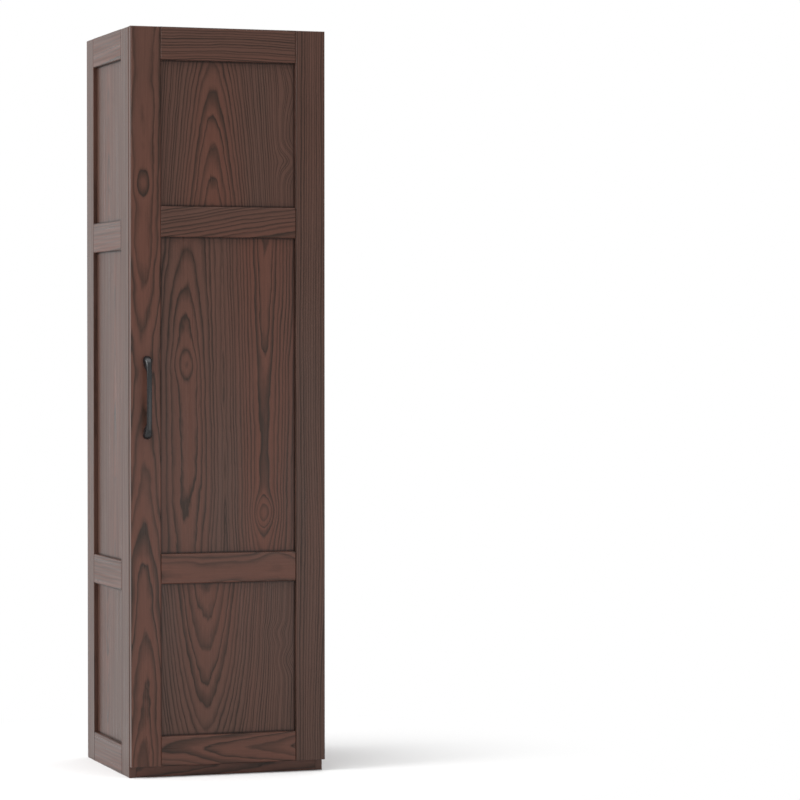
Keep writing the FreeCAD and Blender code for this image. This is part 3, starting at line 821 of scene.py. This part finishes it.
class CABINET_OT_finish_door(bpy.types.Operator):
    """Finish the door's stiles, rails and panels, each as its own board, and ease the frame's edges"""
    bl_idname = "cabinet.finish_door"
    bl_label = "Finish Door"

    def execute(self, context):
        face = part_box("door_handle_stile")[0][1]
        for number, (node, board) in enumerate(DOOR_GRAIN.items()):
            board = board._replace(
                heart=behind(board.heart, face),
                knots=[spot._replace(place=behind(spot.place, face)) for spot in board.knots])
            opening = panel_opening("door", node.replace("door_", ""), DOOR_STILES, 0)
            wood = wood_material("wood_" + node, board, board_seed(number), opening)
            dress(node, wood)
            if not opening:
                stand_for(ease_board(node, 1), node, wood)
        return {"FINISHED"}


class CABINET_OT_finish_sides(bpy.types.Operator):
    """Finish the two framed sides, each board with its own grain, and ease the frame's edges"""
    bl_idname = "cabinet.finish_sides"
    bl_label = "Finish Sides"

    def execute(self, context):
        number = len(DOOR_GRAIN)
        for side, sign in SIDES.items():
            for name, board in SIDE_GRAIN.items():
                node = side + "_" + name
                inward, y, z = board.heart
                board = board._replace(heart=(sign * (SIDE_FACE - inward), y, z))
                opening = panel_opening(side, name, SIDE_STILES, 1)
                wood = wood_material("wood_" + node, board, board_seed(number), opening)
                dress(node, wood)
                if not opening:
                    stand_for(ease_board(node, 0), node, wood)
                number += 1
        return {"FINISHED"}


class CABINET_OT_finish_boards(bpy.types.Operator):
    """Finish the shelves, the top, bottom and cross boards and the back"""
    bl_idname = "cabinet.finish_boards"
    bl_label = "Finish Boards"

    def execute(self, context):
        done = len(DOOR_GRAIN) + len(SIDES) * len(SIDE_GRAIN)
        for number, (node, board) in enumerate(BOARD_GRAIN.items(), done):
            dress(node, wood_material("wood_" + node, board, board_seed(number)))
        return {"FINISHED"}


class CABINET_OT_finish_fittings(bpy.types.Operator):
    """Finish the pins, dowels and the small fittings"""
    bl_idname = "cabinet.finish_fittings"
    bl_label = "Finish Fittings"

    def execute(self, context):
        finishes = {
            "dowels": fitting_material("raw_dowel"), "pins": fitting_material("bright_nickel"),
            "bumper": fitting_material("soft_bumper"), "stiffener": fitting_material("bright_nickel"),
        }
        for name in frame["nodes"]:
            last_word = name.split("_")[-1]
            if last_word in finishes:
                dress(name, finishes[last_word])
        return {"FINISHED"}


class CABINET_OT_build_handle(bpy.types.Operator):
    """Draw the cast handle from its lower tip to its upper one and cut it off at the door"""
    bl_idname = "cabinet.build_handle"
    bl_label = "Build Handle"

    def execute(self, context):
        sizes = context.scene.cabinet_handle
        low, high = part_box("handle")
        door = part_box("door_handle_stile")[0][1]
        across = (low[0] + high[0]) / 2
        run = sizes.handle_length - 2 * sizes.tip
        at = None
        for step in range(HANDLE_STEPS + 1):
            station = sizes.tip + run * (1 - math.cos(math.pi * step / HANDLE_STEPS)) / 2
            from_end = min(station, sizes.handle_length - station)
            half_width, half_depth, middle = self.section(sizes, from_end)
            centre = (across, door - middle, low[2] + station)
            if at is None:
                piece = begin(bpy.ops.mesh.primitive_plane_add, size=2, location=centre)
                bpy.ops.mesh.bevel(
                    offset=HANDLE_ROUNDING, segments=HANDLE_CORNER_STEPS, affect="VERTICES")
                bpy.ops.mesh.select_all(action="SELECT")
                bpy.ops.transform.resize(value=(half_width, half_depth, 1), center_override=centre)
            else:
                move = tuple(new - old for new, old in zip(centre, at[0]))
                bpy.ops.mesh.extrude_region_move(TRANSFORM_OT_translate={"value": move})
                bpy.ops.transform.resize(
                    value=(half_width / at[1], half_depth / at[2], 1), center_override=centre)
            at = (centre, half_width, half_depth)
        bpy.ops.mesh.select_all(action="SELECT")
        bpy.ops.mesh.bisect(plane_co=(0, door, 0), plane_no=(0, 1, 0), use_fill=True, clear_outer=True)
        settle(piece, "cast_handle", HANDLE_CREASE)
        self.bore(context, piece, across, door)
        stand_for(piece, "handle", fitting_material("black_satin_coat"))
        return {"FINISHED"}

    def section(self, sizes, from_end):
        """Half width, half depth and middle of the handle's rounded section, so far from its tip."""
        toe = 1 - share(from_end, 0, sizes.toe_run)
        bow = 1 - share(from_end, sizes.toe_run, sizes.handle_length / 2)
        front = (sizes.projection - sizes.bow) * math.sqrt(1 - toe ** 2) + sizes.bow * (1 - bow ** 2)
        slim = share(from_end, sizes.round_run, sizes.leg_run)
        width = sizes.foot_width + slim * (sizes.bar_width - sizes.foot_width)
        end_round = 1 - share(from_end, 0, sizes.round_run)
        lift = share(from_end, sizes.foot_run, sizes.leg_run)
        half_depth = front + lift * (sizes.bar_thickness / 2 - front)
        return width / 2 * math.sqrt(1 - end_round ** 2), half_depth, front - half_depth

    def bore(self, context, piece, across, door):
        """Drill the two holes for the handle's screws."""
        screws = context.scene.cabinet_screws
        low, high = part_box("handle_screws")
        depth = door - low[1] + MERGE
        for z in (low[2] + screws.handle_head / 2, high[2] - screws.handle_head / 2):
            hole = begin(bpy.ops.mesh.primitive_cylinder_add, vertices=BORE_SIDES,
                         radius=screws.handle_shank / 2 + SCREW_FIT, depth=2 * depth,
                         location=(across, door, z), rotation=(math.pi / 2, 0, 0))
            bpy.ops.object.mode_set(mode="OBJECT")
            carve(piece, hole)


class CABINET_OT_build_screws(bpy.types.Operator):
    """Turn each kind of screw once, with a cross in its head, and copy it to its seats"""
    bl_idname = "cabinet.build_screws"
    bl_label = "Build Screws"

    def execute(self, context):
        sizes = context.scene.cabinet_screws
        wood = self.turn_screw(
            sizes.wood_head, sizes.wood_head_height, sizes.wood_shank, sizes.wood_length)
        arm = self.turn_screw(
            sizes.wood_head, sizes.wood_head_height, sizes.arm_shank, sizes.arm_length)
        grip = self.turn_screw(
            sizes.handle_head, sizes.handle_head_height, sizes.handle_shank, sizes.handle_length)
        to_left = Euler((0, math.radians(-90), 0)).to_matrix()
        to_back = Euler((math.radians(-90), 0, 0)).to_matrix()
        plate_screws = []
        cup_screws = []
        low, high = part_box("hinge_plate_screws")
        plate_seat = (high[0] - sizes.wood_length, low[1] + sizes.wood_head / 2)
        arm_seat = (low[0] + sizes.wood_head_height, high[1] - sizes.wood_head / 2)
        low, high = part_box("hinge_cup_screws")
        cup_seat = ((low[0] + high[0]) / 2, high[1] - sizes.wood_head_height)
        for number in range(1, HINGES + 1):
            z = hinge_height(number)
            for side in (-1, 1):
                plate_screws.append((wood, (*plate_seat, z + side * sizes.plate_spacing / 2), to_left))
                cup_screws.append((wood, (*cup_seat, z + side * sizes.cup_spacing / 2), to_back))
            plate_screws.append((arm, (*arm_seat, z), to_left))
        low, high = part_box("handle_screws")
        x = (low[0] + high[0]) / 2
        y = high[1] - sizes.handle_head_height
        handle_screws = [(grip, (x, y, low[2] + sizes.handle_head / 2), to_back),
                         (grip, (x, y, high[2] - sizes.handle_head / 2), to_back)]
        nickel = fitting_material("bright_nickel")
        steel = fitting_material("screw_steel")
        for node, seats, slot, finish in (
            ("hinge_plate_screws", plate_screws, "nickel", nickel),
            ("hinge_cup_screws", cup_screws, "nickel", nickel),
            ("handle_screws", handle_screws, "screw_steel", steel),
        ):
            stand_for(self.set_out(node + "_turned", seats), node, finish)
        for pattern in (wood, arm, grip):
            bpy.data.objects.remove(pattern)
        return {"FINISHED"}

    def turn_screw(self, head, head_height, shank, reach):
        """One screw, its head up and its seat at the origin."""
        piece = begin(bpy.ops.mesh.primitive_cylinder_add, vertices=SCREW_SIDES, radius=head / 2,
                      depth=head_height, location=(0, 0, head_height / 2))
        top = head_height / 2 - MERGE
        select_faces(piece, lambda face: face.center.z > top)
        bpy.ops.mesh.bevel(
            offset=head_height * SCREW_DOME_SHARE, segments=SCREW_DOME_STEPS, affect="EDGES")
        select_faces(piece, lambda face: face.center.z < -top)
        bpy.ops.mesh.inset(thickness=(head - shank) / 2)
        tip = shank * SCREW_TIP_SHARE
        bpy.ops.mesh.extrude_region_move(TRANSFORM_OT_translate={"value": (0, 0, tip - reach)})
        bpy.ops.mesh.extrude_region_move(TRANSFORM_OT_translate={"value": (0, 0, -tip)})
        bpy.ops.transform.resize(
            value=(SCREW_POINT_SHARE, SCREW_POINT_SHARE, 1), center_override=(0, 0, -reach))
        settle(piece, "screw_pattern", CREASE)
        cross = (head * CROSS_LENGTH_SHARE, head * CROSS_WIDTH_SHARE, head_height * CROSS_DEPTH_SHARE)
        for turn in (0, math.radians(90)):
            bar = begin(bpy.ops.mesh.primitive_cube_add, size=1, location=(0, 0, head_height),
                        rotation=(0, 0, turn), scale=cross)
            select_faces(bar, lambda face: face.normal.z < DOWNWARD)
            bpy.ops.transform.resize(
                value=(CROSS_FLOOR_SHARE, CROSS_FLOOR_SHARE, 1), center_override=(0, 0, head_height))
            bpy.ops.object.mode_set(mode="OBJECT")
            carve(piece, bar)
        return piece

    def set_out(self, name, seats):
        """Copies of the screws at their seats, each turned a little further, as one piece."""
        copies = []
        for number, (pattern, seat, lie) in enumerate(seats):
            pick([pattern])
            bpy.ops.object.duplicate(linked=False)
            copy = bpy.context.object
            spin = Euler((0, 0, SCREW_SPIN * number)).to_matrix()
            copy.rotation_euler = (lie @ spin).to_euler()
            copy.location = seat
            copies.append(copy)
        pick(copies)
        bpy.ops.object.transform_apply(location=True, rotation=True, scale=True)
        bpy.ops.object.join()
        piece = bpy.context.object
        piece.name = name
        piece.data.name = name
        return piece


class CABINET_OT_build_hinges(bpy.types.Operator):
    """Round the edges of the pressed hinge pieces"""
    bl_idname = "cabinet.build_hinges"
    bl_label = "Build Hinges"

    def execute(self, context):
        nickel = fitting_material("bright_nickel")
        for part in ("plate", "arm", "cup"):
            pattern = press("hinge_1_" + part)
            stand_for(pattern, "hinge_1_" + part, nickel)
            for number in range(2, HINGES + 1):
                pick([pattern])
                bpy.ops.object.duplicate(linked=False)
                copy = context.object
                bpy.ops.object.parent_clear(type="CLEAR_KEEP_TRANSFORM")
                copy.location.z = hinge_height(number) - hinge_height(1)
                bpy.ops.object.transform_apply(location=True, rotation=True, scale=True)
                node = "hinge_%d_%s" % (number, part)
                copy.name = node + "_pressed"
                copy.data.name = copy.name
                stand_for(copy, node, nickel)
        stand_for(press("hinge_links"), "hinge_links", nickel)
        return {"FINISHED"}


def looked_at(tree):
    """1 where the camera looks, directly, by reflection or through glass, and 0 for other light."""
    path = add_node(tree, "ShaderNodeLightPath").outputs
    seen = sums(tree, "MAXIMUM", path["Is Camera Ray"], path["Is Glossy Ray"])
    return sums(tree, "MAXIMUM", seen, path["Is Transmission Ray"])


class CABINET_OT_build_stage(bpy.types.Operator):
    """Lay the floor, set the light and place the camera"""
    bl_idname = "cabinet.build_stage"
    bl_label = "Build Stage"

    def execute(self, context):
        settings = context.scene.cabinet_stage
        bpy.ops.object.select_all(action="DESELECT")
        bpy.ops.mesh.primitive_plane_add(size=settings.floor_size, location=(0, 0, 0))
        floor = context.object
        floor.name = "floor"
        floor.data.materials.append(self.floor_material(settings))
        self.light_world(context, settings)
        self.add_lamps(settings)
        self.place_camera(context, settings)
        return {"FINISHED"}

    def floor_material(self, settings):
        """A pale floor that keeps the shadow near the cabinet and is white far away."""
        material, tree, shader = new_material("pale_floor")
        coordinates = add_node(tree, "ShaderNodeTexCoord").outputs["Object"]
        speck = noise(tree, coordinates, *FLOOR_SPECK)
        level = sums(tree, "MULTIPLY_ADD", speck, *FLOOR_SPECK_TONE)
        feed(tree, shader.inputs["Base Color"],
             mix_colour(tree, 1.0, settings.floor_colour, level, blend="MULTIPLY"))
        shader.inputs["Roughness"].default_value = FLOOR_ROUGHNESS
        shader.inputs["Specular IOR Level"].default_value = 0.0
        distance = vector_sums(tree, "LENGTH", coordinates).outputs["Value"]
        far = add_node(tree, "ShaderNodeMapRange", interpolation_type="SMOOTHSTEP")
        feed(tree, far.inputs["Value"], distance)
        far.inputs["From Min"].default_value = FLOOR_WHITE_START
        far.inputs["From Max"].default_value = FLOOR_WHITE_END
        white = add_node(tree, "ShaderNodeEmission")
        blend = add_node(tree, "ShaderNodeMixShader")
        feed(tree, blend.inputs[0], sums(tree, "MULTIPLY", looked_at(tree), far.outputs[0]))
        feed(tree, blend.inputs[1], shader.outputs[0])
        feed(tree, blend.inputs[2], white.outputs[0])
        output = tree.nodes["Material Output"]
        feed(tree, output.inputs["Surface"], blend.outputs[0])
        return material

    def light_world(self, context, settings):
        """Even light from all round, and plain white where the camera looks."""
        world = bpy.data.worlds.new("studio")
        context.scene.world = world
        world.use_nodes = True
        tree = world.node_tree
        soft = tree.nodes["Background"]
        soft.inputs["Color"].default_value = (1, 1, 1, 1)
        soft.inputs["Strength"].default_value = settings.sky_level
        white = add_node(tree, "ShaderNodeBackground")
        white.inputs["Color"].default_value = (1, 1, 1, 1)
        blend = add_node(tree, "ShaderNodeMixShader")
        feed(tree, blend.inputs[0], looked_at(tree))
        feed(tree, blend.inputs[1], soft.outputs[0])
        feed(tree, blend.inputs[2], white.outputs[0])
        feed(tree, tree.nodes["World Output"].inputs["Surface"], blend.outputs[0])

    def add_lamps(self, settings):
        """Three soft lamps: name, place, what it points at, size and power."""
        for name, place, aim, size, power in (
            ("key_lamp", (-5.6, -0.8, 3.4), (0, 0, 0.9), 3.0, settings.key_power),
            ("top_lamp", (-0.4, -1.0, 6.0), (-0.4, -1.0, 0.0), 6.0, settings.top_power),
            ("low_lamp", (0.4, -2.6, 0.15), (0, 0, 0.25), 1.6, settings.low_power),
        ):
            bpy.ops.object.light_add(type="AREA", location=place)
            lamp = bpy.context.object
            lamp.name = name
            lamp.data.shape = "SQUARE"
            lamp.data.size = size
            lamp.data.energy = power
            lamp.visible_camera = False
            lamp.rotation_euler = (Vector(aim) - Vector(place)).to_track_quat("-Z", "Y").to_euler()

    def place_camera(self, context, settings):
        """The camera, placed as for the photo."""
        bpy.ops.object.camera_add(location=settings.camera_place)
        camera = context.object
        camera.name = "photo_camera"
        camera.rotation_euler = (math.pi / 2 - settings.camera_dip, 0, -settings.camera_heading)
        camera.data.lens = settings.camera_lens
        camera.data.sensor_width = SENSOR_WIDTH
        camera.data.clip_end = CAMERA_REACH
        context.scene.camera = camera
        context.scene.view_settings.view_transform = "Standard"


class CABINET_PT_tools(bpy.types.Panel):
    """The cabinet's settings and its steps, in order"""
    bl_idname = "CABINET_PT_tools"
    bl_label = "Storage Cabinet"
    bl_space_type = "VIEW_3D"
    bl_region_type = "UI"
    bl_category = "Cabinet"

    def draw(self, context):
        layout = self.layout
        for step in STEPS:
            layout.operator(step.bl_idname)
        for pointer, group in SETTINGS.items():
            column = layout.column(heading=group.__doc__)
            for name in group.__annotations__:
                column.prop(getattr(context.scene, pointer), name)


SETTINGS = {
    "cabinet_wood": CabinetWoodSettings,
    "cabinet_fittings": CabinetFittingSettings,
    "cabinet_handle": CabinetHandleSettings,
    "cabinet_screws": CabinetScrewSettings,
    "cabinet_stage": CabinetStageSettings,
}
STEPS = (
    CABINET_OT_finish_door,
    CABINET_OT_finish_sides,
    CABINET_OT_finish_boards,
    CABINET_OT_finish_fittings,
    CABINET_OT_build_handle,
    CABINET_OT_build_screws,
    CABINET_OT_build_hinges,
    CABINET_OT_build_stage,
)


def register():
    """Tell Blender of the settings, the steps and the panel."""
    for group in SETTINGS.values():
        bpy.utils.register_class(group)
    for step in STEPS:
        bpy.utils.register_class(step)
    bpy.utils.register_class(CABINET_PT_tools)
    for pointer, group in SETTINGS.items():
        setattr(bpy.types.Scene, pointer, PointerProperty(type=group))


def unregister():
    """Take back what register told."""
    for pointer in SETTINGS:
        delattr(bpy.types.Scene, pointer)
    for group in (CABINET_PT_tools, *reversed(STEPS), *reversed(list(SETTINGS.values()))):
        bpy.utils.unregister_class(group)


def main():
    """Finish the cabinet step by step and note its size."""
    register()
    bpy.ops.cabinet.finish_door()
    bpy.ops.cabinet.finish_sides()
    bpy.ops.cabinet.finish_boards()
    bpy.ops.cabinet.finish_fittings()
    bpy.ops.cabinet.build_handle()
    bpy.ops.cabinet.build_screws()
    bpy.ops.cabinet.build_hinges()
    bpy.ops.cabinet.build_stage()


if __name__ == "__main__":
    main()
